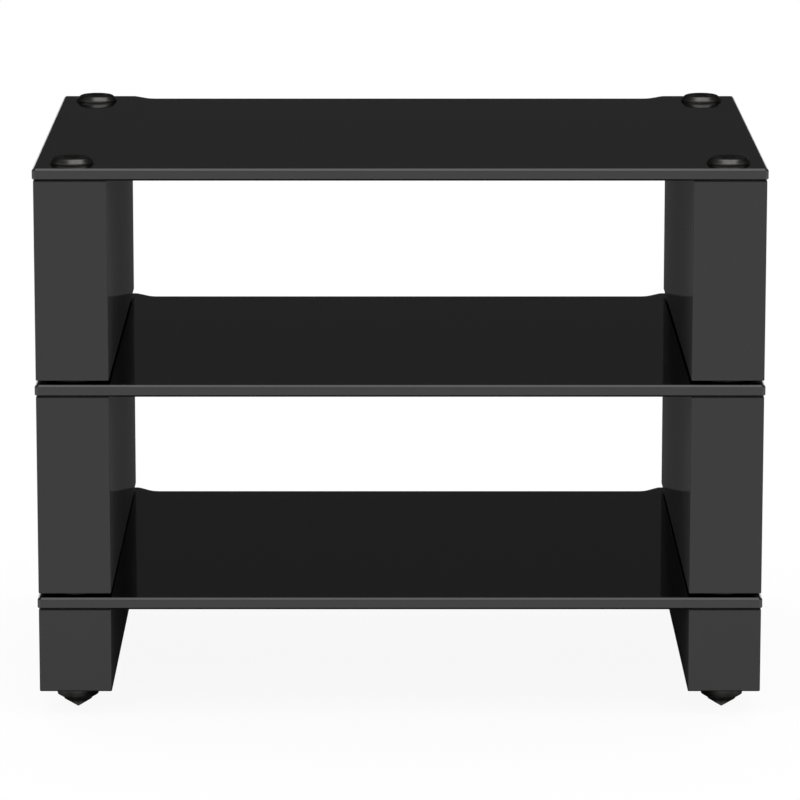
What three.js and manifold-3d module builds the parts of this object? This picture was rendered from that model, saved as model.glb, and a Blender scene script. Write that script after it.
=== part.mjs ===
// Audio equipment rack: three stacked modules, each a glass shelf screwed down on two side columns.
// Every module stands on four spikes: the base module on the floor, the others in the seats of the shelf
// below them.
// Millimetres, +Z up, front towards -Y. The origin is on the floor, under the middle of the rack.

import * as THREE from 'three';
import { mergeVertices } from 'three/addons/utils/BufferGeometryUtils.js';
import Module from 'manifold-3d';

const wasm = await Module();
wasm.setup();

// Glass shelves
const shelfWidth = 600;
const shelfDepth = 430;
const glassThickness = 10;
const glassBevel = 1.7;
const glassCornerCut = 2.5;
const glassHoleClearance = 2;
const recessMargin = 1;
const recessDepth = 16;
const recessCurveLength = 21.5;
const recessOuterRadius = 5;
const recessInnerRadius = 12;

// Side columns
const columnWidth = 60;
const columnHeight = 166;
const baseColumnHeight = 70;
const columnEdge = 1;
const shelfOverhang = 1;

// Spacing of the modules
const floorGap = 20;
const moduleGap = 3.4;

// Seats: round screw heads that hold the glass and take the spikes of the module above
const seatRadius = 18;
const seatHeight = 5.3;
const dimpleDepth = 2.7;
const seatEngagement = 12;
const seatTopShare = 0.79;
const seatFootShare = 0.91;
const seatDimpleShare = 0.4;
const seatDimpleFloorShare = 0.12;
const seatShoulderShare = 0.967;
const seatShoulderHeightShare = 0.51;
const seatRimHeightShare = 0.3;

// Spikes: a stepped cone under a collar, with a stud
const spikeRadius = 17.2;
const spikeHeadHeight = 17.5;
const spikeTipRadius = 0.4;
const spikeStudLength = 30;
const spikeStepRadiusShare = 0.677;
const spikeStepLowShare = 0.414;
const spikeStepHighShare = 0.46;
const spikeCollarShare = 0.66;
const spikeCollarTopShare = 0.966;
const spikeTravelIn = 3;

// Threads and threaded inserts
const studRadius = 4;
const studChamfer = 1;
const insertWall = 2;
const insertFlangeWidth = 3;
const insertFlangeThickness = 1.5;
const spikeInsertLength = 20;
const seatInsertLength = 16;

// Clearances
const threadClearance = 0.3;
const insertClearance = 0.3;
const tipClearance = 0.3;
const stopClearance = 0.3;
const pocketClearance = 3;
const drillEndClearance = 2;
const cutOverrun = 1;

// Numbers of facets
const roundFacets = 16;
const boreFacets = 12;
const curveFacets = 3;

// Worked out from the sizes above
const columnDepth = shelfDepth - 2 * shelfOverhang;
const columnCentre = shelfWidth / 2 - shelfOverhang - columnWidth / 2;
const columnInner = columnCentre - columnWidth / 2;
const screwAxisX = columnCentre;
const screwAxisY = columnDepth / 2 - columnWidth / 2;
const seatFloorHeight = seatHeight - dimpleDepth;
const stackedReach = moduleGap - seatFloorHeight - tipClearance;
const pocketRadius = Math.max(seatRadius, spikeRadius) + pocketClearance;
const pocketDepth = spikeHeadHeight - stackedReach + spikeTravelIn + stopClearance;
const insertBore = studRadius + threadClearance;
const insertRadius = insertBore + insertWall;
const insertFlangeRadius = insertRadius + insertFlangeWidth;
const seatStudLength = glassThickness + seatEngagement;
const glassHoleRadius = studRadius + glassHoleClearance;

function finish(name, color, roughness, metalness) {
  return new THREE.MeshStandardMaterial({ name, color, roughness, metalness });
}

const glass = finish('black_glass', 0x141415, 0.05, 0);
const lacquer = finish('black_lacquer', 0x18181a, 0.12, 0);
const darkMetal = finish('dark_chrome', 0x3a3a3c, 0.22, 1);
const zinc = finish('zinc_plate', 0xa8a79f, 0.4, 1);

// A closed solid from a geometry, ready to be cut
function solidFrom(geometry) {
  const bare = geometry.clone();
  bare.deleteAttribute('normal');
  bare.deleteAttribute('uv');
  const merged = mergeVertices(bare);
  return new wasm.Manifold(new wasm.Mesh({
    numProp: 3,
    vertProperties: new Float32Array(merged.attributes.position.array),
    triVerts: new Uint32Array(merged.index.array),
  }));
}

// A geometry from a solid, with a normal for each facet
function geometryFrom(solid) {
  const mesh = solid.getMesh();
  const shared = new THREE.BufferGeometry();
  shared.setAttribute('position', new THREE.BufferAttribute(mesh.vertProperties, mesh.numProp));
  shared.setIndex(new THREE.BufferAttribute(mesh.triVerts, 1));
  const geometry = shared.toNonIndexed();
  geometry.computeVertexNormals();
  return geometry;
}

// A profile of [radius, height] points, turned about the Z axis
function turned(profile, facets) {
  const points = profile.map(([radius, height]) => new THREE.Vector2(radius, height));
  const geometry = new THREE.LatheGeometry(points, facets);
  geometry.rotateX(Math.PI / 2);
  return geometry;
}

// A stepped drill that enters at height 0 and cuts upwards: one [radius, depth] for each step, widest first
function steppedDrill(steps, facets) {
  const profile = [[0, -cutOverrun], [steps[0][0], -cutOverrun]];
  steps.forEach(([radius, depth], i) => {
    profile.push([radius, depth]);
    if (i + 1 < steps.length) profile.push([steps[i + 1][0], depth]);
  });
  profile.push([0, steps[steps.length - 1][1]]);
  return solidFrom(turned(profile, facets));
}

// A flat outline made a slab with bevelled edges that stay inside the outline, from height 0 up
function bevelledSlab(outline, thickness, bevel) {
  const geometry = new THREE.ExtrudeGeometry(outline, {
    depth: thickness - 2 * bevel,
    bevelThickness: bevel,
    bevelSize: bevel,
    bevelOffset: -bevel,
    bevelSegments: 1,
    curveSegments: curveFacets,
  });
  geometry.translate(0, 0, bevel);
  return geometry;
}

// The two ends and the two sides of a module, which together place its four screw axes
const ends = [['front', -1], ['rear', 1]];
const sides = [['left', -1], ['right', 1]];

// Outline of a shelf: cut corners, and a rear recess between the columns. At each end of the recess a
// straight slope runs between an outer and an inner arc, and its angle follows from the sizes of all three
function shelfOutline() {
  const halfWidth = shelfWidth / 2;
  const halfDepth = shelfDepth / 2;
  const recessStart = columnInner - recessMargin;
  const recessEnd = recessStart - recessCurveLength;
  const outerArcY = halfDepth - recessOuterRadius;
  const innerArcY = halfDepth - recessDepth + recessInnerRadius;
  const bothRadii = recessOuterRadius + recessInnerRadius;
  const drop = recessDepth - bothRadii;
  const slopeLength = Math.sqrt(recessCurveLength ** 2 + drop ** 2 - bothRadii ** 2);
  const arcAngle = Math.atan2(drop, recessCurveLength) + Math.atan2(bothRadii, slopeLength);
  const top = Math.PI / 2;
  const outline = new THREE.Shape();
  outline.moveTo(-halfWidth + glassCornerCut, -halfDepth);
  outline.lineTo(halfWidth - glassCornerCut, -halfDepth);
  outline.lineTo(halfWidth, -halfDepth + glassCornerCut);
  outline.lineTo(halfWidth, halfDepth - glassCornerCut);
  outline.lineTo(halfWidth - glassCornerCut, halfDepth);
  outline.absarc(recessStart, outerArcY, recessOuterRadius, top, top + arcAngle, false);
  outline.absarc(recessEnd, innerArcY, recessInnerRadius, arcAngle - top, -top, true);
  outline.absarc(-recessEnd, innerArcY, recessInnerRadius, -top, -top - arcAngle, true);
  outline.absarc(-recessStart, outerArcY, recessOuterRadius, top - arcAngle, top, false);
  outline.lineTo(-halfWidth + glassCornerCut, halfDepth);
  outline.lineTo(-halfWidth, halfDepth - glassCornerCut);
  outline.lineTo(-halfWidth, -halfDepth + glassCornerCut);
  outline.closePath();
  return outline;
}

// A shelf, its underside at height 0. The glass over the columns is drilled for the four seat studs,
// and the field between the columns, where equipment stands, is joined to it as one clear face.
function shelfGeometry() {
  const slab = solidFrom(bevelledSlab(shelfOutline(), glassThickness, glassBevel));
  const fieldBox = new THREE.BoxGeometry(
    2 * columnInner,
    shelfDepth + 2 * cutOverrun,
    glassThickness + 2 * cutOverrun,
  );
  const field = solidFrom(fieldBox.translate(0, 0, glassThickness / 2));
  const drill = steppedDrill([[glassHoleRadius, glassThickness + cutOverrun]], roundFacets);
  let margins = slab.subtract(field);
  for (const [, side] of sides) {
    for (const [, end] of ends) {
      margins = margins.subtract(drill.translate(side * screwAxisX, end * screwAxisY, 0));
    }
  }
  return geometryFrom(margins.asOriginal().add(slab.intersect(field).asOriginal()));
}

// Outline of a column, its four upright edges cut at 45 degrees
function columnOutline() {
  const halfWidth = columnWidth / 2;
  const halfDepth = columnDepth / 2;
  const outline = new THREE.Shape();
  outline.moveTo(columnEdge - halfWidth, -halfDepth);
  outline.lineTo(halfWidth - columnEdge, -halfDepth);
  outline.lineTo(halfWidth, columnEdge - halfDepth);
  outline.lineTo(halfWidth, halfDepth - columnEdge);
  outline.lineTo(halfWidth - columnEdge, halfDepth);
  outline.lineTo(columnEdge - halfWidth, halfDepth);
  outline.lineTo(-halfWidth, halfDepth - columnEdge);
  outline.lineTo(-halfWidth, columnEdge - halfDepth);
  outline.closePath();
  return outline;
}

// A hole for an insert: a counterbore for its flange, and a straight bore with room past the depth used
function insertDrill(usedDepth) {
  return steppedDrill([
    [insertFlangeRadius + insertClearance, insertFlangeThickness],
    [insertRadius + insertClearance, usedDepth + drillEndClearance],
  ], boreFacets);
}

// A column, its underside at height 0, drilled from below for two spikes and from above for two seats.
// Its pockets are cut up to the ceiling, which is at height 0 on a column without pockets
function columnGeometry(height, ceiling) {
  let block = solidFrom(bevelledSlab(columnOutline(), height, columnEdge));
  const pocket = steppedDrill([[pocketRadius, ceiling]], roundFacets);
  const spikeDrill = insertDrill(spikeStudLength).translate(0, 0, ceiling);
  const seatDrill = insertDrill(seatInsertLength).rotate(180, 0, 0).translate(0, 0, height);
  for (const [, end] of ends) {
    const y = end * screwAxisY;
    if (ceiling > 0) block = block.subtract(pocket.translate(0, y, 0));
    block = block.subtract(spikeDrill.translate(0, y, 0)).subtract(seatDrill.translate(0, y, 0));
  }
  return geometryFrom(block);
}

// A seat, its foot on the glass at height 0, with its stud below
function seatGeometry() {
  return turned([
    [0, -seatStudLength],
    [studRadius - studChamfer, -seatStudLength],
    [studRadius, studChamfer - seatStudLength],
    [studRadius, 0],
    [seatRadius * seatFootShare, 0],
    [seatRadius, seatHeight * seatRimHeightShare],
    [seatRadius * seatShoulderShare, seatHeight * seatShoulderHeightShare],
    [seatRadius * seatTopShare, seatHeight],
    [seatRadius * seatDimpleShare, seatHeight],
    [seatRadius * seatDimpleFloorShare, seatFloorHeight],
    [0, seatFloorHeight],
  ], roundFacets);
}

// A spike, its tip at height 0, with its stud above
function spikeGeometry() {
  const top = spikeHeadHeight + spikeStudLength;
  const stepRadius = spikeRadius * spikeStepRadiusShare;
  return turned([
    [0, 0],
    [spikeTipRadius, 0],
    [stepRadius, spikeHeadHeight * spikeStepLowShare],
    [stepRadius, spikeHeadHeight * spikeStepHighShare],
    [spikeRadius, spikeHeadHeight * spikeCollarShare],
    [spikeRadius, spikeHeadHeight * spikeCollarTopShare],
    [spikeRadius - spikeHeadHeight * (1 - spikeCollarTopShare), spikeHeadHeight],
    [studRadius, spikeHeadHeight],
    [studRadius, top - studChamfer],
    [studRadius - studChamfer, top],
    [0, top],
  ], roundFacets);
}

// A flanged sleeve, the flange's outer face at height 0 and the sleeve above it
function insertGeometry(length) {
  return turned([
    [insertBore, 0],
    [insertFlangeRadius, 0],
    [insertFlangeRadius, insertFlangeThickness],
    [insertRadius, insertFlangeThickness],
    [insertRadius, length],
    [insertBore, length],
    [insertBore, 0],
  ], boreFacets);
}

const rack = new THREE.Group();

function add(name, geometry, material, x, y, z) {
  const mesh = new THREE.Mesh(geometry, material);
  mesh.name = name;
  mesh.position.set(x, y, z);
  rack.add(mesh);
}

const shelf = shelfGeometry();
const seat = seatGeometry();
const spike = spikeGeometry();
const spikeInsert = insertGeometry(spikeInsertLength);
const seatInsert = insertGeometry(seatInsertLength).rotateX(Math.PI);
const stackedColumn = columnGeometry(columnHeight, pocketDepth);
const baseColumn = columnGeometry(baseColumnHeight, 0);

// One module: underside is the height of its columns' undersides, reach is how far its spikes stand out
// below them, and ceiling is the depth of the pockets that the spikes' heads sit in
function addModule(name, underside, column, height, reach, ceiling) {
  const glassUnderside = underside + height;
  const glassTop = glassUnderside + glassThickness;
  add(`${name}_shelf`, shelf, glass, 0, 0, glassUnderside);
  for (const [sideName, side] of sides) {
    const x = side * screwAxisX;
    add(`${name}_column_${sideName}`, column, lacquer, side * columnCentre, 0, underside);
    for (const [endName, end] of ends) {
      const y = end * screwAxisY;
      const place = `${endName}_${sideName}`;
      add(`${name}_seat_${place}`, seat, darkMetal, x, y, glassTop);
      add(`${name}_seat_insert_${place}`, seatInsert, zinc, x, y, glassUnderside);
      add(`${name}_spike_${place}`, spike, darkMetal, x, y, underside - reach);
      add(`${name}_spike_insert_${place}`, spikeInsert, zinc, x, y, underside + ceiling);
    }
  }
  return glassTop;
}

function addStackedModule(name, glassBelow) {
  return addModule(name, glassBelow + moduleGap, stackedColumn, columnHeight, stackedReach, pocketDepth);
}

const baseTop = addModule('base', floorGap, baseColumn, baseColumnHeight, floorGap, 0);
const middleTop = addStackedModule('middle', baseTop);
addStackedModule('top', middleTop);

export default rack;
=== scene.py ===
"""Looks of a stacking audio rack: glass shelves screwed down on side columns, with spikes and seats."""

import math

import bmesh
import bpy
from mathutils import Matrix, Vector


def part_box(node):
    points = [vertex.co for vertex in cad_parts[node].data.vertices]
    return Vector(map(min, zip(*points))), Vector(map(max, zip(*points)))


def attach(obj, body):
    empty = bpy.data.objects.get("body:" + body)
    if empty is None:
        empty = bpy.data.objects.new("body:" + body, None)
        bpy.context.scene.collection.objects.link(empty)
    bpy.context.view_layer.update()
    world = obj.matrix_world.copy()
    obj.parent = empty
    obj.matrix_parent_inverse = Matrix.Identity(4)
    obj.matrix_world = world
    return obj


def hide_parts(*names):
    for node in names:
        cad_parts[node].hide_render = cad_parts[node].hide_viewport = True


bl_info = {
    "name": "Stacking Audio Rack",
    "version": (1, 0, 0),
    "blender": (4, 5, 0),
    "location": "View3D > Sidebar > Audio Rack",
    "description": "Glass shelves, lacquered columns and turned metal parts of a stacking audio rack",
    "category": "Object",
}

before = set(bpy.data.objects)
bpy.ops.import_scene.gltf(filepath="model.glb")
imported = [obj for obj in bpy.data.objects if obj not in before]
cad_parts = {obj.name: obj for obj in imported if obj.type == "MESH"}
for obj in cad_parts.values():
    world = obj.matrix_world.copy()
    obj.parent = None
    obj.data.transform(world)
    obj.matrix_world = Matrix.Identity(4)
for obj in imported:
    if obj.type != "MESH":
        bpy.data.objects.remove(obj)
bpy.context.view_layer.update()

MODULES = ("base", "middle", "top")
SIDES = ("left", "right")
PLACES = ("front_left", "front_right", "rear_left", "rear_right")
MM = 0.001
# Places closer than this count as one
NEAR = 0.02 * MM
# How far a cutter reaches past what it cuts
OVERRUN = 1.0 * MM
# Facets of a full round, and steps along an arc of an outline
ROUND = 72
ARC_STEPS = 10
FILLET_STEPS = 6
# Edges sharper than the first are rounded, and edges sharper than the second stay sharp in the shading
ROUNDED_ANGLE = math.radians(30)
SHARP_ANGLE = math.radians(35)
# Chamfer at the end of a stud, as a share of its radius
STUD_CHAMFER = 0.25
WHITE = (1, 1, 1, 1)


class RackSizes(bpy.types.PropertyGroup):
    """Sizes of the rack's pieces that the frame's boxes don't give"""

    corner_cut: bpy.props.FloatProperty(
        name="Corner cut", description="Cut across each upright corner of the glass",
        default=2.5 * MM, unit="LENGTH")
    glass_bevel: bpy.props.FloatProperty(
        name="Glass bevel", description="Ground bevel along the edges of the glass",
        default=1.7 * MM, unit="LENGTH")
    glass_arris: bpy.props.FloatProperty(
        name="Glass arris", description="Polished rounding beside the bevels",
        default=0.15 * MM, unit="LENGTH")
    recess_margin: bpy.props.FloatProperty(
        name="Recess margin", description="Width of glass between a column and the recess",
        default=1.0 * MM, unit="LENGTH")
    recess_depth: bpy.props.FloatProperty(
        name="Recess depth", description="Depth of the cable recess at the rear edge",
        default=16.0 * MM, unit="LENGTH")
    recess_curve: bpy.props.FloatProperty(
        name="Recess curve", description="Length of the S-curve at each end of the recess",
        default=21.5 * MM, unit="LENGTH")
    recess_outer: bpy.props.FloatProperty(
        name="Recess outer radius", description="Radius where the recess leaves the rear edge",
        default=5.0 * MM, unit="LENGTH")
    recess_inner: bpy.props.FloatProperty(
        name="Recess inner radius", description="Radius in the corners of the recess",
        default=12.0 * MM, unit="LENGTH")
    glass_hole: bpy.props.FloatProperty(
        name="Glass hole", description="Radius of the holes for the seat studs",
        default=6.0 * MM, unit="LENGTH")
    column_edge: bpy.props.FloatProperty(
        name="Column edge", description="Rounding of the column edges",
        default=1.0 * MM, unit="LENGTH")
    pocket_radius: bpy.props.FloatProperty(
        name="Pocket radius", description="Radius of the pockets over the seats",
        default=21.0 * MM, unit="LENGTH")
    drill_room: bpy.props.FloatProperty(
        name="Drill room", description="Room past the end of a stud or insert in its hole",
        default=2.0 * MM, unit="LENGTH")
    stud_radius: bpy.props.FloatProperty(
        name="Stud radius", description="Outer radius of the threads",
        default=4.0 * MM, unit="LENGTH")
    thread_pitch: bpy.props.FloatProperty(
        name="Thread pitch", description="Height of one turn of the threads",
        default=1.25 * MM, unit="LENGTH")
    seat_height: bpy.props.FloatProperty(
        name="Seat height", description="Height of a seat above the glass",
        default=5.3 * MM, unit="LENGTH")
    seat_brow: bpy.props.FloatProperty(
        name="Seat brow radius", description="Rounding between a seat's cone and its flat top",
        default=4.5 * MM, unit="LENGTH")
    seat_rim: bpy.props.FloatProperty(
        name="Seat rim radius", description="Rounding between a seat's upright wall and its cone",
        default=1.5 * MM, unit="LENGTH")
    seat_edge: bpy.props.FloatProperty(
        name="Seat edge", description="Rounding of a seat's other edges",
        default=0.3 * MM, unit="LENGTH")
    dimple_depth: bpy.props.FloatProperty(
        name="Dimple depth", description="Depth of the dimple that takes a spike's tip",
        default=2.7 * MM, unit="LENGTH")
    spike_head: bpy.props.FloatProperty(
        name="Spike head", description="Height of a spike from its tip to its collar's top",
        default=17.5 * MM, unit="LENGTH")
    spike_tip: bpy.props.FloatProperty(
        name="Spike tip", description="Radius of the flat at a spike's tip",
        default=0.4 * MM, unit="LENGTH")
    turned_edge: bpy.props.FloatProperty(
        name="Turned edge", description="Rounding of the edges of the spikes and inserts",
        default=0.2 * MM, unit="LENGTH")
    insert_bore: bpy.props.FloatProperty(
        name="Insert bore", description="Radius of the bore of the threaded inserts",
        default=4.3 * MM, unit="LENGTH")
    insert_radius: bpy.props.FloatProperty(
        name="Insert radius", description="Outer radius of an insert's sleeve",
        default=6.3 * MM, unit="LENGTH")
    flange_thickness: bpy.props.FloatProperty(
        name="Flange thickness", description="Thickness of an insert's flange",
        default=1.5 * MM, unit="LENGTH")
    clearance: bpy.props.FloatProperty(
        name="Clearance", description="Room between an insert and its hole",
        default=0.3 * MM, unit="LENGTH")


class RackFinishes(bpy.types.PropertyGroup):
    """Colours of the rack's finishes"""

    glass: bpy.props.FloatVectorProperty(
        name="Glass", description="Black glass", subtype="COLOR",
        default=(0.0011, 0.0011, 0.0012), min=0, max=1)
    ground: bpy.props.FloatVectorProperty(
        name="Ground edge", description="Ground and polished edge of the glass", subtype="COLOR",
        default=(0.0083, 0.0083, 0.0084), min=0, max=1)
    lacquer: bpy.props.FloatVectorProperty(
        name="Lacquer", description="Black high gloss lacquer", subtype="COLOR",
        default=(0.0085, 0.0085, 0.0087), min=0, max=1)
    # Painted sheen: a lighter black that takes the gloss's place at a slant
    lacquer_painted_sheen: bpy.props.FloatVectorProperty(
        name="Lacquer at a slant", description="The black that shows through the lacquer at a slant",
        subtype="COLOR", default=(0.045, 0.045, 0.0455), min=0, max=1)
    metal: bpy.props.FloatVectorProperty(
        name="Dark metal", description="Black nickel of the seats and spikes", subtype="COLOR",
        default=(0.085, 0.083, 0.080), min=0, max=1)
    zinc: bpy.props.FloatVectorProperty(
        name="Zinc", description="Zinc plate of the inserts", subtype="COLOR",
        default=(0.42, 0.41, 0.39), min=0, max=1)
    board: bpy.props.FloatVectorProperty(
        name="Board", description="Stained board inside the drilled holes", subtype="COLOR",
        default=(0.012, 0.010, 0.009), min=0, max=1)


class RackStage(bpy.types.PropertyGroup):
    """Camera, floor and light"""

    camera_place: bpy.props.FloatVectorProperty(
        name="Camera", description="Place of the camera", subtype="TRANSLATION",
        default=(-0.01147, -4.30441, 1.08899))
    camera_tilt: bpy.props.FloatProperty(
        name="Tilt", description="How far the camera looks down", subtype="ANGLE",
        default=math.radians(11.364))
    sensor: bpy.props.FloatProperty(
        name="Sensor", description="Width of the camera's sensor in millimetres", default=36.0)
    lens: bpy.props.FloatProperty(
        name="Lens", description="Focal length of the camera in millimetres", default=228.717)
    shift: bpy.props.FloatProperty(
        name="Shift", description="Sideways shift of the picture", default=0.01739)
    floor_colour: bpy.props.FloatVectorProperty(
        name="Floor", description="Pale floor", subtype="COLOR", default=(0.96, 0.96, 0.96), min=0, max=1)
    floor_white: bpy.props.FloatProperty(
        name="Floor whiteness", description="Share of the floor's look that is plain white", default=0.92)
    surround: bpy.props.FloatProperty(
        name="Surround", description="Strength of the light from all round", default=1.0)
    overhead: bpy.props.FloatProperty(
        name="Overhead light", description="Power of the soft light above", default=22.0, unit="POWER")
    overhead_size: bpy.props.FloatProperty(
        name="Overhead size", description="Width of the soft light above", default=2.6, unit="LENGTH")
    overhead_aside: bpy.props.FloatProperty(
        name="Overhead aside", description="How far to the right the soft light hangs",
        default=0.45, unit="LENGTH")
    overhead_height: bpy.props.FloatProperty(
        name="Overhead height", description="Height of the soft light above", default=3.4, unit="LENGTH")
    # The tent's tones are painted reflections: it glows but shows only in the gloss
    tent_low: bpy.props.FloatProperty(
        name="Tent tone, low", description="How bright the tent looks in the gloss, near the floor",
        default=0.043)
    tent_middle: bpy.props.FloatProperty(
        name="Tent tone, middle", description="How bright the tent looks in the gloss, further up",
        default=0.0455)
    tent_front: bpy.props.FloatProperty(
        name="Tent tone, front", description="How much brighter the front of the tent is, high up",
        default=0.6)
    tent_roof: bpy.props.FloatProperty(
        name="Tent tone, roof", description="How bright the slanted roof of the tent looks in the gloss",
        default=0.12)
    tent_mouth: bpy.props.FloatProperty(
        name="Tent tone, mouth", description="How much brighter the roof is round the soft light",
        default=0.5)
    # Painted shade: tones of the dark card that stands for the shaded floor under the rack in the gloss
    under_painted_shade: bpy.props.FloatProperty(
        name="Under tone", description="How bright the floor under the rack looks in the gloss",
        default=0.004)
    side_painted_shade: bpy.props.FloatProperty(
        name="Side tone", description="How bright the floor under the columns looks in the gloss",
        default=0.06)
    # Painted highlight: a bright spot on the card at each spike's tip, which shows as a glint low on the
    # cone
    tip_painted_highlight: bpy.props.FloatProperty(
        name="Tip tone", description="How bright the floor at a spike's tip looks in the gloss",
        default=0.5)


def select_only(piece):
    """Makes this the one selected object."""
    bpy.ops.object.select_all(action="DESELECT")
    piece.select_set(True)
    bpy.context.view_layer.objects.active = piece


def settle(piece):
    """Puts the object at the origin, unturned and unscaled, with its place in its mesh."""
    select_only(piece)
    bpy.ops.object.transform_apply(location=True, rotation=True, scale=True)
    return piece


def edit(piece, kind="FACE"):
    """Edit mode with nothing selected."""
    select_only(piece)
    bpy.ops.object.mode_set(mode="EDIT")
    bpy.ops.mesh.select_mode(type=kind)
    bpy.ops.mesh.select_all(action="DESELECT")


def pick(piece, kind, wanted):
    """Selects the verts, edges or faces, by their kind, that wanted is true of."""
    shape = bmesh.from_edit_mesh(piece.data)
    bpy.ops.mesh.select_mode(type=kind)
    bpy.ops.mesh.select_all(action="DESELECT")
    parts = {"VERT": shape.verts, "EDGE": shape.edges, "FACE": shape.faces}[kind]
    for part in parts:
        if wanted(part):
            part.select = True
    shape.select_flush_mode()
    bmesh.update_edit_mesh(piece.data)


def close_edit():
    bpy.ops.object.mode_set(mode="OBJECT")


def apply_modifier(piece, kind, **settings):
    """Adds a modifier with these settings and applies it."""
    select_only(piece)
    modifier = piece.modifiers.new(kind.title(), kind)
    for name, value in settings.items():
        setattr(modifier, name, value)
    bpy.ops.object.modifier_apply(modifier=modifier.name)


def boolean(piece, other, operation):
    """Joins, cuts or trims a piece with another one, which is used up."""
    apply_modifier(
        piece, "BOOLEAN", operation=operation, solver="EXACT", object=other, material_mode="TRANSFER")
    bpy.data.objects.remove(other)


def round_edges(piece, width, segments=2):
    """Rounds every sharp edge."""
    apply_modifier(
        piece, "BEVEL", width=width, segments=segments, limit_method="ANGLE",
        angle_limit=ROUNDED_ANGLE, use_clamp_overlap=True)


def smooth(piece):
    """Smooth shading that keeps flat faces flat."""
    select_only(piece)
    bpy.ops.object.shade_smooth_by_angle(angle=SHARP_ANGLE)
    apply_modifier(piece, "WEIGHTED_NORMAL", mode="FACE_AREA", weight=80, keep_sharp=True)


def turned(name, centre, profile, through=False):
    """A solid turned about the upright line through centre, with one ring for each (radius, height).

    With through, the first and last rings are the ends of a bore.
    """
    (radius, height), rings = profile[0], profile[1:]
    start = (centre.x, centre.y, height)
    bpy.ops.mesh.primitive_circle_add(vertices=ROUND, radius=radius, fill_type="NGON", location=start)
    piece = settle(bpy.context.object)
    piece.name = name
    edit(piece)
    pick(piece, "FACE", lambda face: True)
    for next_radius, next_height in rings:
        step = {"value": (0, 0, next_height - height)}
        bpy.ops.mesh.extrude_region_move(TRANSFORM_OT_translate=step)
        share = next_radius / radius
        bpy.ops.transform.resize(
            value=(share, share, 1), center_override=(centre.x, centre.y, next_height))
        radius, height = next_radius, next_height
    if through:
        pick(piece, "FACE", lambda face: len(face.verts) == ROUND)
        bpy.ops.mesh.bridge_edge_loops()
    bpy.ops.mesh.select_all(action="SELECT")
    bpy.ops.mesh.normals_make_consistent(inside=False)
    close_edit()
    return piece


def copy_of(piece, name, move):
    """A copy with its own mesh, moved by a vector."""
    select_only(piece)
    bpy.ops.object.duplicate()
    twin = bpy.context.object
    twin.name = name
    twin.location = move
    return settle(twin)


def dress(piece, body, nodes, slot, *materials):
    """Gives a finished piece its body, the nodes it stands for and its finish."""
    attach(piece, body)
    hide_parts(*nodes)
    for index, material in enumerate(materials):
        if index < len(piece.data.materials):
            piece.data.materials[index] = material
        else:
            piece.data.materials.append(material)


def fillet(first, corner, last, radius):
    """Points of an arc that rounds the corner between two straight lines."""
    back, onwards = (first - corner).normalized(), (last - corner).normalized()
    half = back.angle(onwards) / 2
    centre = corner + (back + onwards).normalized() * radius / math.sin(half)
    start = corner + back * radius / math.tan(half) - centre
    end = corner + onwards * radius / math.tan(half) - centre
    shares = [step / FILLET_STEPS for step in range(FILLET_STEPS + 1)]
    return [tuple(centre + start.slerp(end, share) * radius) for share in shares]


def centre_of(node):
    """The middle of a node's box."""
    low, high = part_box(node)
    return (low + high) / 2


def radius_of(node):
    """The radius of a round node."""
    low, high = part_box(node)
    return (high.x - low.x) / 2


class Nodes:
    """The nodes of a material or a world."""

    def __init__(self, owner, output="ShaderNodeOutputMaterial"):
        owner.use_nodes = True
        self.owner = owner
        self.tree = owner.node_tree
        self.tree.nodes.clear()
        self.output = self.add(output)
        self.place = self.add("ShaderNodeTexCoord").outputs["Object"]

    def add(self, kind, inputs=None, **settings):
        """A node with these settings, its inputs set to values or linked to sockets."""
        made = self.tree.nodes.new(kind)
        for name, value in settings.items():
            setattr(made, name, value)
        for name, value in (inputs or {}).items():
            if isinstance(value, bpy.types.NodeSocket):
                self.tree.links.new(value, made.inputs[name])
            else:
                made.inputs[name].default_value = value
        return made

    def noise(self, scale, detail=2.0, stretch=(1, 1, 1)):
        """Noise of this many lumps to a metre, on object coordinates."""
        turned_place = self.add("ShaderNodeMapping", {"Vector": self.place, "Scale": stretch}).outputs[0]
        return self.add(
            "ShaderNodeTexNoise", {"Vector": turned_place, "Scale": scale, "Detail": detail}).outputs["Fac"]

    def between(self, value, low, high, from_low=0.3, from_high=0.7):
        """A value spread from one range onto another."""
        inputs = {
            "Value": value, "From Min": from_low, "From Max": from_high, "To Min": low, "To Max": high}
        return self.add("ShaderNodeMapRange", inputs).outputs[0]

    def bump(self, height, depth):
        return self.add("ShaderNodeBump", {"Height": height, "Distance": depth}).outputs[0]

    def math(self, operation, first, second=0.0):
        return self.add("ShaderNodeMath", {0: first, 1: second}, operation=operation).outputs[0]

    def blend(self, share, first, second):
        """A mix of two colours."""
        made = self.add("ShaderNodeMix", data_type="RGBA")
        for index, value in ((0, share), (6, first), (7, second)):
            if isinstance(value, bpy.types.NodeSocket):
                self.tree.links.new(value, made.inputs[index])
            else:
                made.inputs[index].default_value = value
        return made.outputs[2]

    def principled(self, inputs):
        return self.add("ShaderNodeBsdfPrincipled", inputs).outputs[0]

    def finish(self, shader):
        self.tree.links.new(shader, self.output.inputs["Surface"])
        return self.owner


def shade(colour, factor):
    """A colour made lighter or darker, with its alpha."""
    return (*[channel * factor for channel in colour], 1.0)


def black_glass(nodes, finishes):
    """Toughened black glass: deep gloss with a breath of wiping haze and a few specks of dust."""
    haze = nodes.noise(scale=14.0, detail=4.0, stretch=(1, 2.5, 1))
    specks = nodes.between(
        nodes.noise(scale=900.0, detail=0.0), low=0.0, high=1.0, from_low=0.78, from_high=0.83)
    colour = nodes.blend(specks, shade(finishes.glass, 1.0), shade(finishes.glass, 5.0))
    rough = nodes.between(haze, low=0.015, high=0.035)
    wave = nodes.bump(nodes.noise(scale=7.0, detail=1.0), depth=0.02 * MM)
    return nodes.principled({"Base Color": colour, "Roughness": rough, "IOR": 1.5, "Normal": wave})


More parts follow.
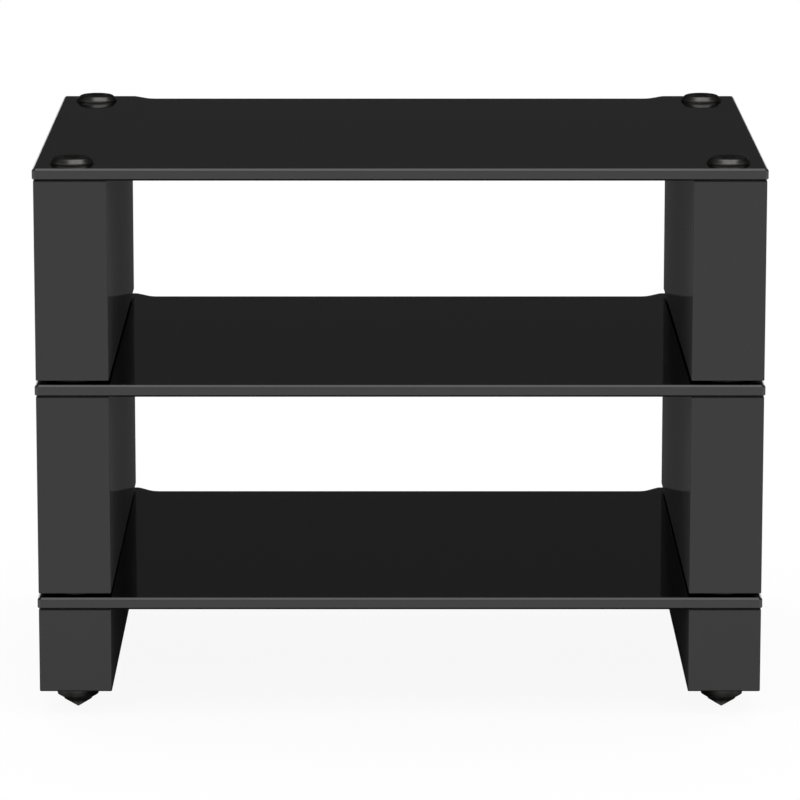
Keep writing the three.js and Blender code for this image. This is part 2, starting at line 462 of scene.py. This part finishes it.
def ground_glass(nodes, finishes):
    """The ground and polished edge of the glass, a little greyer than its face."""
    marks = nodes.noise(scale=1.0, detail=3.0, stretch=(60, 60, 2600))
    colour = nodes.blend(
        nodes.between(marks, low=0.0, high=1.0), shade(finishes.ground, 0.8), shade(finishes.ground, 1.2))
    rough = nodes.between(marks, low=0.10, high=0.18)
    grooves = nodes.bump(marks, depth=0.004 * MM)
    return nodes.principled({"Base Color": colour, "Roughness": rough, "IOR": 1.58, "Normal": grooves})


# The lacquer's index of refraction, the share of light that it mirrors head-on, and how fast its
# gloss gives way at a slant to a lighter painted sheen
VARNISH_IOR = 1.5
HEAD_ON_GLOSS = 0.04
GLOSS_FALL = 1.25


def gloss_lacquer(nodes, finishes):
    """Black high gloss lacquer, polished flat: its gloss stays even towards the edge of sight, and at a
    slant a lighter grey is painted in as a sheen.
    """
    peel = nodes.noise(scale=420.0, detail=2.0)
    haze = nodes.noise(scale=18.0, detail=3.0)
    colour = nodes.blend(
        nodes.between(haze, low=0.0, high=1.0), shade(finishes.lacquer, 0.93), shade(finishes.lacquer, 1.07))
    rough = nodes.between(haze, low=0.04, high=0.075)
    normal = nodes.bump(peel, depth=0.0012 * MM)
    gloss = nodes.principled({
        "Base Color": colour, "Roughness": rough, "IOR": VARNISH_IOR, "Normal": normal})
    # Painted sheen: a lighter grey without gloss, which takes over from the gloss at a slant
    slant = nodes.blend(
        nodes.between(haze, low=0.0, high=1.0), shade(finishes.lacquer_painted_sheen, 0.95),
        shade(finishes.lacquer_painted_sheen, 1.05))
    body = nodes.principled({
        "Base Color": slant, "Roughness": rough, "Specular IOR Level": 0.0, "Normal": normal})
    mirrored = nodes.add("ShaderNodeFresnel", {"IOR": VARNISH_IOR}).outputs[0]
    ratio = nodes.math("DIVIDE", HEAD_ON_GLOSS, mirrored)
    share = nodes.add(
        "ShaderNodeMath", {0: ratio, 1: GLOSS_FALL}, operation="POWER", use_clamp=True).outputs[0]
    return nodes.add("ShaderNodeMixShader", {0: share, 1: body, 2: gloss}).outputs[0]


def stained_board(nodes, finishes):
    """The board that shows inside the drilled holes, with the stain soaked into its fibres."""
    fibres = nodes.noise(scale=1500.0, detail=3.0)
    colour = nodes.blend(
        nodes.between(fibres, low=0.0, high=1.0), shade(finishes.board, 0.6), shade(finishes.board, 1.6))
    grain = nodes.bump(fibres, depth=0.1 * MM)
    return nodes.principled({"Base Color": colour, "Roughness": 0.85, "Normal": grain})


def dark_metal(nodes, finishes):
    """Black nickel on turned steel, with fine rings from the lathe."""
    rings = nodes.noise(scale=1.0, detail=2.0, stretch=(40, 40, 5200))
    patches = nodes.noise(scale=160.0, detail=2.0)
    colour = nodes.blend(
        nodes.between(patches, low=0.0, high=1.0), shade(finishes.metal, 0.85), shade(finishes.metal, 1.15))
    rough = nodes.between(rings, low=0.20, high=0.28)
    grooves = nodes.bump(rings, depth=0.004 * MM)
    return nodes.principled({
        "Base Color": colour, "Metallic": 0.95, "Roughness": rough,
        "Specular Tint": (0.55, 0.55, 0.55, 1.0), "Normal": grooves})


def zinc_plate(nodes, finishes):
    """Bright zinc on the inserts, with the cloudy bloom that zinc has."""
    bloom = nodes.noise(scale=240.0, detail=3.0)
    colour = nodes.blend(
        nodes.between(bloom, low=0.0, high=1.0), shade(finishes.zinc, 0.8), shade(finishes.zinc, 1.15))
    rough = nodes.between(bloom, low=0.28, high=0.45)
    crystals = nodes.bump(bloom, depth=0.01 * MM)
    return nodes.principled({
        "Base Color": colour, "Metallic": 1.0, "Roughness": rough, "Normal": crystals})


def once(maker):
    """A finish as a material, made the first time that it is asked for.

    The frame's own plain materials have names without the prefix.
    """
    name = f"rack_{maker.__name__}"
    known = bpy.data.materials.get(name)
    if known is None:
        known = bpy.data.materials.new(name)
        nodes = Nodes(known)
        nodes.finish(maker(nodes, bpy.context.scene.rack_finishes))
    return known


class RACK_OT_shelves(bpy.types.Operator):
    """Cut, grind and drill the glass shelves"""

    bl_idname = "rack.shelves"
    bl_label = "Glass shelves"

    # A face is flat where its normal's upward share is over the first. An edge is on the rim where the
    # second lies between the shares of its two faces.
    FLAT, SLANTED = 0.999, 0.5

    def execute(self, context):
        sizes = context.scene.rack_sizes
        low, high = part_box("base_shelf")
        column_low, column_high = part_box("base_column_right")
        panel = self.slab(sizes, low, high, column_low.x - sizes.recess_margin)
        self.drill(sizes, panel, low, high)
        smooth(panel)
        for module in MODULES:
            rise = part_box(f"{module}_shelf")[0].z - low.z
            twin = copy_of(panel, f"{module}_glass_panel", (0, 0, rise))
            self.mark_edges(twin)
            dress(
                twin, f"{module}_module", [f"{module}_shelf"], "black_glass",
                once(black_glass), once(ground_glass))
        bpy.data.objects.remove(panel)
        return {"FINISHED"}

    def slab(self, sizes, low, high, recess_half):
        """The panel with its recess, cut corners and bevels."""
        bpy.ops.mesh.primitive_cube_add(size=1, location=(low + high) / 2, scale=high - low)
        panel = settle(bpy.context.object)
        curve = [(recess_half - along, inset) for along, inset in self.recess_end(sizes)]
        edit(panel)
        for half, _ in curve:
            for side in (-1, 1):
                bpy.ops.mesh.select_all(action="SELECT")
                bpy.ops.mesh.bisect(plane_co=(side * half, 0, 0), plane_no=(1, 0, 0))
        for half, inset in curve:
            pick(panel, "VERT", lambda vert: abs(abs(vert.co.x) - half) < NEAR and vert.co.y > 0)
            bpy.ops.transform.translate(value=(0, -inset, 0))
        pick(panel, "EDGE", lambda edge: self.upright_corner(edge, high))
        bpy.ops.mesh.bevel(offset=sizes.corner_cut, segments=1, affect="EDGES")
        pick(panel, "EDGE", self.on_rim)
        bpy.ops.mesh.bevel(offset=sizes.glass_bevel, segments=1, affect="EDGES", clamp_overlap=False)
        close_edit()
        round_edges(panel, sizes.glass_arris)
        return panel

    @staticmethod
    def recess_end(sizes):
        """Points of one end of the recess, each a way along the rear edge and a way into the glass.

        A straight slope runs between an outer and an inner arc.
        """
        length, depth = sizes.recess_curve, sizes.recess_depth
        outer, inner = sizes.recess_outer, sizes.recess_inner
        drop = depth - outer - inner
        slope = math.sqrt(length ** 2 + drop ** 2 - (outer + inner) ** 2)
        turn = math.atan2(drop, length) + math.atan2(outer + inner, slope)
        angles = [turn * step / ARC_STEPS for step in range(ARC_STEPS + 1)]
        outer_arc = [(outer * math.sin(angle), outer * (1 - math.cos(angle))) for angle in angles]
        inner_arc = [
            (length - inner * math.sin(angle), depth - inner * (1 - math.cos(angle)))
            for angle in reversed(angles)]
        return outer_arc + inner_arc

    @staticmethod
    def upright_corner(edge, high):
        first, second = edge.verts
        return abs(first.co.z - second.co.z) > NEAR and all(
            abs(vert.co.x) > high.x - NEAR and abs(vert.co.y) > high.y - NEAR for vert in edge.verts)

    def on_rim(self, edge):
        """True of an edge between a flat face and an upright one."""
        if len(edge.link_faces) != 2:
            return False
        flat = sorted(abs(face.normal.z) for face in edge.link_faces)
        return flat[0] < self.SLANTED < flat[1]

    def drill(self, sizes, panel, low, high):
        for place in PLACES:
            centre = centre_of(f"base_seat_{place}")
            profile = [(sizes.glass_hole, low.z - OVERRUN), (sizes.glass_hole, high.z + OVERRUN)]
            boolean(panel, turned("glass_drill", centre, profile), "DIFFERENCE")

    def mark_edges(self, panel):
        """Gives the second finish to everything but the two flat faces."""
        panel.data.materials.clear()
        for face in panel.data.polygons:
            face.material_index = 0 if abs(face.normal.z) > self.FLAT else 1


class RACK_OT_columns(bpy.types.Operator):
    """Shape and drill the lacquered side columns"""

    bl_idname = "rack.columns"
    bl_label = "Side columns"

    def execute(self, context):
        sizes = context.scene.rack_sizes
        for module in MODULES:
            for side in SIDES:
                self.column(sizes, module, side)
        return {"FINISHED"}

    def column(self, sizes, module, side):
        node = f"{module}_column_{side}"
        low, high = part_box(node)
        bpy.ops.mesh.primitive_cube_add(size=1, location=(low + high) / 2, scale=high - low)
        block = settle(bpy.context.object)
        block.name = f"{module}_side_column_{side}"
        round_edges(block, sizes.column_edge, segments=3)
        block.data.materials.append(once(gloss_lacquer))
        for end in ("front", "rear"):
            self.drill(sizes, block, module, f"{end}_{side}", low.z, high.z)
        smooth(block)
        dress(
            block, f"{module}_module", [node], "black_lacquer",
            once(gloss_lacquer), once(stained_board))

    def drill(self, sizes, block, module, place, bottom, top):
        """Holes for the spike's insert from below and the seat's insert from above, and the pocket."""
        spike_insert = f"{module}_spike_insert_{place}"
        centre = centre_of(spike_insert)
        flange = radius_of(spike_insert) + sizes.clearance
        sleeve = sizes.insert_radius + sizes.clearance
        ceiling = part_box(spike_insert)[0].z
        ledge = ceiling + sizes.flange_thickness
        spike_low, spike_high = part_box(f"{module}_spike_{place}")
        stud_length = spike_high.z - spike_low.z - sizes.spike_head
        drill_end = ceiling + stud_length + sizes.drill_room
        from_below = [(flange, ledge), (sleeve, ledge), (sleeve, drill_end)]
        if ceiling > bottom + NEAR:
            pocket = sizes.pocket_radius
            from_below = [(pocket, bottom - OVERRUN), (pocket, ceiling), (flange, ceiling)] + from_below
        else:
            from_below = [(flange, bottom - OVERRUN)] + from_below
        seat_low, seat_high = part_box(f"{module}_seat_insert_{place}")
        ledge = seat_high.z - sizes.flange_thickness
        from_above = [
            (sleeve, seat_low.z - sizes.drill_room), (sleeve, ledge), (flange, ledge),
            (flange, top + OVERRUN)]
        for profile in (from_below, from_above):
            cutter = turned("column_drill", centre, profile)
            cutter.data.materials.append(once(stained_board))
            boolean(block, cutter, "DIFFERENCE")


class RACK_OT_seats(bpy.types.Operator):
    """Turn the round seats that hold the glass and take the spikes above"""

    bl_idname = "rack.seats"
    bl_label = "Seats"

    # Shares of the seat's radius, and RIM_HEIGHT of its height above the glass
    RIM, RIM_HEIGHT, TOP, DIMPLE, DIMPLE_FLOOR = 0.976, 0.3, 0.79, 0.4, 0.12

    def execute(self, context):
        node = "base_seat_front_left"
        seat = self.seat(context.scene.rack_sizes, node)
        first = centre_of(node)
        for module in MODULES:
            for place in PLACES:
                node = f"{module}_seat_{place}"
                twin = copy_of(seat, f"{module}_seat_screw_{place}", centre_of(node) - first)
                dress(twin, f"{module}_module", [node], "dark_chrome", once(dark_metal))
        bpy.data.objects.remove(seat)
        return {"FINISHED"}

    def seat(self, sizes, node):
        """A seat and its stud; a small dimple in its top takes a spike's tip."""
        low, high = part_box(node)
        radius, foot = radius_of(node), high.z - sizes.seat_height
        chamfer = sizes.stud_radius * STUD_CHAMFER
        base = Vector((radius, foot))
        rim = Vector((radius * self.RIM, foot + sizes.seat_height * self.RIM_HEIGHT))
        brow = Vector((radius * self.TOP, high.z))
        dimple = Vector((radius * self.DIMPLE, high.z))
        seat = turned("seat", centre_of(node), [
            (sizes.stud_radius - chamfer, low.z),
            (sizes.stud_radius, low.z + chamfer),
            (sizes.stud_radius, foot),
            tuple(base),
            *fillet(base, rim, brow, sizes.seat_rim),
            *fillet(rim, brow, dimple, sizes.seat_brow),
            tuple(dimple),
            (radius * self.DIMPLE_FLOOR, high.z - sizes.dimple_depth),
        ])
        round_edges(seat, sizes.seat_edge)
        smooth(seat)
        return seat


class RACK_OT_spikes(bpy.types.Operator):
    """Turn the spikes and cut their threads"""

    bl_idname = "rack.spikes"
    bl_label = "Spikes"

    # STEP_RADIUS is a share of the spike's radius, the others are shares of its head's height
    STEP_RADIUS, STEP_LOW, STEP_HIGH = 0.677, 0.414, 0.46
    COLLAR, COLLAR_TOP = 0.66, 0.966
    # Shares of the thread's pitch, and CREST of the ridge's width at its root
    THREAD_DEPTH, RIDGE_WIDTH, CREST = 0.61, 0.8, 0.16
    THREAD_STEPS = 24
    # How far the ridge reaches into the core
    ROOT_DEPTH = 0.1 * MM

    def execute(self, context):
        sizes = context.scene.rack_sizes
        node = "base_spike_front_left"
        spike = self.head(sizes, node)
        boolean(spike, self.stud(sizes, node), "UNION")
        smooth(spike)
        first = centre_of(node)
        for module in MODULES:
            for place in PLACES:
                node = f"{module}_spike_{place}"
                twin = copy_of(spike, f"{module}_cone_spike_{place}", centre_of(node) - first)
                dress(twin, f"{module}_foot_{place}", [node], "dark_chrome", once(dark_metal))
        bpy.data.objects.remove(spike)
        return {"FINISHED"}

    def head(self, sizes, node):
        """A cone on its tip, stepped halfway up, under a chamfered collar."""
        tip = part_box(node)[0].z
        radius, height = radius_of(node), sizes.spike_head
        step = radius * self.STEP_RADIUS
        head = turned("spike", centre_of(node), [
            (sizes.spike_tip, tip),
            (step, tip + height * self.STEP_LOW),
            (step, tip + height * self.STEP_HIGH),
            (radius, tip + height * self.COLLAR),
            (radius, tip + height * self.COLLAR_TOP),
            (radius - height * (1 - self.COLLAR_TOP), tip + height),
        ])
        round_edges(head, sizes.turned_edge)
        return head

    def stud(self, sizes, node):
        """A threaded stud: a core and a coiled ridge, trimmed to a chamfered rod."""
        low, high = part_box(node)
        centre = centre_of(node)
        shoulder = low.z + sizes.spike_head
        root = sizes.stud_radius - sizes.thread_pitch * self.THREAD_DEPTH
        core = turned("stud_core", centre, [(root, shoulder - OVERRUN), (root, high.z + OVERRUN)])
        boolean(core, self.ridge(sizes, centre, root, shoulder, high.z), "UNION")
        chamfer = sizes.stud_radius * STUD_CHAMFER
        rod_radius = sizes.stud_radius + NEAR
        rod = turned("stud_rod", centre, [
            (rod_radius, shoulder - OVERRUN / 2), (rod_radius, high.z - chamfer),
            (rod_radius - chamfer, high.z)])
        boolean(core, rod, "INTERSECT")
        return core

    def ridge(self, sizes, centre, root, bottom, top):
        """One unbroken ridge of thread, its section a blunt wedge, coiled up the stud."""
        pitch = sizes.thread_pitch
        inner, outer = root - self.ROOT_DEPTH, sizes.stud_radius
        section_place = ((inner + outer) / 2, 0, bottom)
        bpy.ops.mesh.primitive_plane_add(
            size=1, location=section_place, rotation=(math.radians(90), 0, 0))
        ridge = settle(bpy.context.object)
        edit(ridge)
        pick(ridge, "FACE", lambda face: True)
        bpy.ops.transform.resize(
            value=(outer - inner, 1, self.RIDGE_WIDTH * pitch), center_override=section_place)
        pick(ridge, "VERT", lambda vert: vert.co.x > section_place[0])
        bpy.ops.transform.resize(value=(1, 1, self.CREST), center_override=section_place)
        bpy.ops.mesh.select_all(action="SELECT")
        bpy.ops.mesh.delete(type="ONLY_FACE")
        close_edit()
        turns = math.ceil((top - bottom) / pitch) + 1
        apply_modifier(
            ridge, "SCREW", angle=math.tau, screw_offset=pitch, iterations=turns,
            steps=self.THREAD_STEPS, render_steps=self.THREAD_STEPS, use_merge_vertices=False)
        edit(ridge, "EDGE")
        bpy.ops.mesh.select_non_manifold()
        bpy.ops.mesh.fill_holes(sides=4)
        bpy.ops.mesh.select_all(action="SELECT")
        bpy.ops.mesh.normals_make_consistent(inside=False)
        close_edit()
        ridge.location = (centre.x, centre.y, 0)
        return settle(ridge)


class RACK_OT_inserts(bpy.types.Operator):
    """Turn the flanged inserts that the threads run in"""

    bl_idname = "rack.inserts"
    bl_label = "Threaded inserts"

    def execute(self, context):
        sizes = context.scene.rack_sizes
        for kind, flange_up in (("seat", True), ("spike", False)):
            node = f"base_{kind}_insert_front_left"
            insert = self.insert(sizes, node, flange_up)
            first = centre_of(node)
            for module in MODULES:
                for place in PLACES:
                    node = f"{module}_{kind}_insert_{place}"
                    name = f"{module}_{kind}_sleeve_{place}"
                    twin = copy_of(insert, name, centre_of(node) - first)
                    dress(twin, f"{module}_module", [node], "zinc_plate", once(zinc_plate))
            bpy.data.objects.remove(insert)
        return {"FINISHED"}

    def insert(self, sizes, node, flange_up):
        """A sleeve with a bore and a flange at one end."""
        low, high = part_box(node)
        flange, sleeve, bore = radius_of(node), sizes.insert_radius, sizes.insert_bore
        lip = sizes.flange_thickness
        if flange_up:
            profile = [
                (bore, low.z), (sleeve, low.z), (sleeve, high.z - lip), (flange, high.z - lip),
                (flange, high.z), (bore, high.z)]
        else:
            profile = [
                (bore, low.z), (flange, low.z), (flange, low.z + lip), (sleeve, low.z + lip),
                (sleeve, high.z), (bore, high.z)]
        insert = turned("insert", centre_of(node), profile, through=True)
        round_edges(insert, sizes.turned_edge)
        smooth(insert)
        return insert


class RACK_OT_stage(bpy.types.Operator):
    """Set up the camera, the pale floor and the soft light"""

    bl_idname = "rack.stage"
    bl_label = "Stage"

    CAMERA_REACH = 100
    FLOOR_WIDTH = 60
    TENT_SIDES, TENT_RADIUS = 96, 3.2
    TENT_BOTTOM, WALL_TOP, ROOF_TOP = 0.36, 2.5, 3.5
    # The mouth in the roof, as a share of the tent's radius
    MOUTH = 0.47
    # Heights between which the tent's tone changes
    WALL_BAND, ROOF_BAND, MOUTH_BAND = (0.75, 1.0), (2.4, 2.8), (3.1, ROOF_TOP)
    FRONT_RISE, FRONT_FALL = (1.3, 1.9), (2.7, 3.1)
    # From front to rear, where the brighter front of the tent ends
    FRONT_END = (-0.8, 0.8)
    CARD_LIFT = 0.4 * MM
    CARD_SIZE = (0.86, 0.58, 1)
    # Distances from the middle between which the card fades out, and its painted shade turns lighter under
    # the columns
    CARD_SIDE, CARD_END, UNDER_COLUMN = (0.31, 0.42), (0.255, 0.285), (0.235, 0.27)
    # Distances from a spike's tip between which the card's painted highlight fades out
    TIP_HIGHLIGHT_FADE = (2.0 * MM, 6.0 * MM)

    def execute(self, context):
        stage = context.scene.rack_stage
        self.camera(context, stage)
        self.floor(stage)
        self.surround(context, stage)
        self.overhead(context, stage)
        self.tent(stage)
        self.painted_shade_card(stage)
        context.scene.view_settings.view_transform = "Standard"
        return {"FINISHED"}

    def camera(self, context, stage):
        bpy.ops.object.camera_add(
            location=stage.camera_place, rotation=(math.pi / 2 - stage.camera_tilt, 0, 0))
        camera = context.object
        camera.name = "photo_camera"
        camera.data.sensor_width = stage.sensor
        camera.data.lens = stage.lens
        camera.data.shift_x = stage.shift
        camera.data.clip_end = self.CAMERA_REACH
        context.scene.camera = camera

    def floor(self, stage):
        bpy.ops.mesh.primitive_plane_add(size=self.FLOOR_WIDTH, location=(0, 0, 0))
        floor = bpy.context.object
        floor.name = "floor"
        nodes = Nodes(bpy.data.materials.new("pale_floor"))
        lit = nodes.add("ShaderNodeBsdfDiffuse", {"Color": shade(stage.floor_colour, 1.0)}).outputs[0]
        white = nodes.add("ShaderNodeEmission", {"Color": WHITE, "Strength": 1.0}).outputs[0]
        share = nodes.math("MULTIPLY", self.seen(nodes), stage.floor_white)
        mixed = nodes.add("ShaderNodeMixShader", {0: share, 1: lit, 2: white}).outputs[0]
        floor.data.materials.append(nodes.finish(mixed))

    @staticmethod
    def seen(nodes):
        """1 for rays from the camera, off gloss or through glass, and 0 for the rest."""
        path = nodes.add("ShaderNodeLightPath").outputs
        shown = path["Is Camera Ray"]
        for name in ("Is Glossy Ray", "Is Transmission Ray"):
            shown = nodes.math("MAXIMUM", shown, path[name])
        return shown

    def surround(self, context, stage):
        """White where it is seen, and a soft even light from all round."""
        nodes = Nodes(bpy.data.worlds.new("surround"), "ShaderNodeOutputWorld")
        strength = nodes.between(self.seen(nodes), stage.surround, 1.0, 0.0, 1.0)
        light = nodes.add("ShaderNodeBackground", {"Color": WHITE, "Strength": strength})
        context.scene.world = nodes.finish(light.outputs[0])

    def overhead(self, context, stage):
        place = (stage.overhead_aside, 0, stage.overhead_height)
        bpy.ops.object.light_add(type="AREA", location=place)
        light = context.object
        light.name = "overhead_softbox"
        light.data.shape = "SQUARE"
        light.data.size = stage.overhead_size
        light.data.energy = stage.overhead
        light.visible_camera = False

    def tent(self, stage):
        """A dark tent round the stage, open below for the floor and above for the soft light. It glows but
        shows only in the gloss: painted reflections, brighter high up at the front and round the soft light.
        """
        bpy.ops.mesh.primitive_circle_add(
            vertices=self.TENT_SIDES, radius=self.TENT_RADIUS, location=(0, 0, self.TENT_BOTTOM))
        tent = settle(bpy.context.object)
        tent.name = "card_tent"
        edit(tent, "EDGE")
        bpy.ops.mesh.select_all(action="SELECT")
        wall = (0, 0, self.WALL_TOP - self.TENT_BOTTOM)
        roof = (stage.overhead_aside, 0, self.ROOF_TOP - self.WALL_TOP)
        for step in (wall, roof):
            bpy.ops.mesh.extrude_region_move(TRANSFORM_OT_translate={"value": step})
        bpy.ops.transform.resize(
            value=(self.MOUTH, self.MOUTH, 1),
            center_override=(stage.overhead_aside, 0, self.ROOF_TOP))
        close_edit()
        nodes = Nodes(bpy.data.materials.new("tent_painted_reflection"))
        place = nodes.add("ShaderNodeSeparateXYZ", {"Vector": nodes.place}).outputs
        height = place["Z"]
        roof_rise = stage.tent_roof - stage.tent_middle
        rise = nodes.between(height, 0.0, stage.tent_front, *self.FRONT_RISE)
        fall = nodes.between(height, 1.0, 0.0, *self.FRONT_FALL)
        front = nodes.between(place["Y"], 1.0, 0.0, *self.FRONT_END)
        tone = nodes.between(height, stage.tent_low, stage.tent_middle, *self.WALL_BAND)
        # Painted reflections: brighter bands up the roof, round the soft light and high up at the front
        for added in (
                nodes.between(height, 0.0, roof_rise, *self.ROOF_BAND),
                nodes.between(height, 0.0, stage.tent_mouth, *self.MOUTH_BAND),
                nodes.math("MULTIPLY", nodes.math("MULTIPLY", rise, fall), front)):
            tone = nodes.math("ADD", tone, added)
        tent.data.materials.append(nodes.finish(
            nodes.add("ShaderNodeEmission", {"Color": WHITE, "Strength": tone}).outputs[0]))
        self.only_in_gloss(tent)

    def painted_shade_card(self, stage):
        """A dark card on the floor under the rack, seen in the gloss and by diffuse light: painted shade
        under the rack and its columns, with a painted highlight at each spike's tip. Its edges are faded out
        and it is clear from below.
        """
        bpy.ops.mesh.primitive_plane_add(size=1, location=(0, 0, self.CARD_LIFT))
        card = bpy.context.object
        card.name = "shade_card_under"
        card.scale = self.CARD_SIZE
        settle(card)
        nodes = Nodes(bpy.data.materials.new("painted_shade_card"))
        place = nodes.add("ShaderNodeSeparateXYZ", {"Vector": nodes.place}).outputs
        aside, along = nodes.math("ABSOLUTE", place["X"]), nodes.math("ABSOLUTE", place["Y"])
        share = nodes.math(
            "MULTIPLY", nodes.between(aside, 1.0, 0.0, *self.CARD_SIDE),
            nodes.between(along, 1.0, 0.0, *self.CARD_END))
        from_above = nodes.math(
            "SUBTRACT", 1.0, nodes.add("ShaderNodeNewGeometry").outputs["Backfacing"])
        share = nodes.math("MULTIPLY", share, from_above)
        # Painted shade under the rack, lighter under the columns
        tone = nodes.between(aside, stage.under_painted_shade, stage.side_painted_shade, *self.UNDER_COLUMN)
        # Painted highlight: a bright spot at the rear right base spike's tip, mirrored to all four base
        # spikes
        tip = centre_of("base_spike_rear_right")
        off_tip = nodes.math(
            "MAXIMUM", nodes.math("ABSOLUTE", nodes.math("SUBTRACT", aside, tip.x)),
            nodes.math("ABSOLUTE", nodes.math("SUBTRACT", along, tip.y)))
        tip_glint = nodes.between(off_tip, stage.tip_painted_highlight, 0.0, *self.TIP_HIGHLIGHT_FADE)
        tone = nodes.math("MAXIMUM", tone, tip_glint)
        dark = nodes.add("ShaderNodeEmission", {"Color": WHITE, "Strength": tone})
        clear = nodes.add("ShaderNodeBsdfTransparent")
        card.data.materials.append(nodes.finish(nodes.add(
            "ShaderNodeMixShader", {0: share, 1: clear.outputs[0], 2: dark.outputs[0]}).outputs[0]))
        self.only_in_gloss(card)
        # The card also keeps the floor's bounce light off the rack's lower parts: painted shade
        card.visible_diffuse = True

    @staticmethod
    def only_in_gloss(card):
        card.visible_camera = False
        card.visible_diffuse = False
        card.visible_transmission = False
        card.visible_volume_scatter = False
        card.visible_shadow = False


OPERATORS = (
    RACK_OT_shelves, RACK_OT_columns, RACK_OT_seats, RACK_OT_spikes, RACK_OT_inserts, RACK_OT_stage)


class RACK_PT_build(bpy.types.Panel):
    """Buttons that build the rack"""

    bl_label = "Audio Rack"
    bl_idname = "RACK_PT_build"
    bl_space_type = "VIEW_3D"
    bl_region_type = "UI"
    bl_category = "Audio Rack"

    def draw(self, context):
        for operator in OPERATORS:
            self.layout.operator(operator.bl_idname, text=operator.bl_label)


GROUPS = (("rack_sizes", RackSizes), ("rack_finishes", RackFinishes), ("rack_stage", RackStage))


def register():
    for name, group in GROUPS:
        bpy.utils.register_class(group)
        setattr(bpy.types.Scene, name, bpy.props.PointerProperty(type=group))
    for kind in (*OPERATORS, RACK_PT_build):
        bpy.utils.register_class(kind)


def unregister():
    for kind in (RACK_PT_build, *reversed(OPERATORS)):
        bpy.utils.unregister_class(kind)
    for name, group in reversed(GROUPS):
        delattr(bpy.types.Scene, name)
        bpy.utils.unregister_class(group)


def main():
    register()
    for name in ("shelves", "columns", "seats", "spikes", "inserts", "stage"):
        getattr(bpy.ops.rack, name)()


if __name__ == "__main__":
    main()
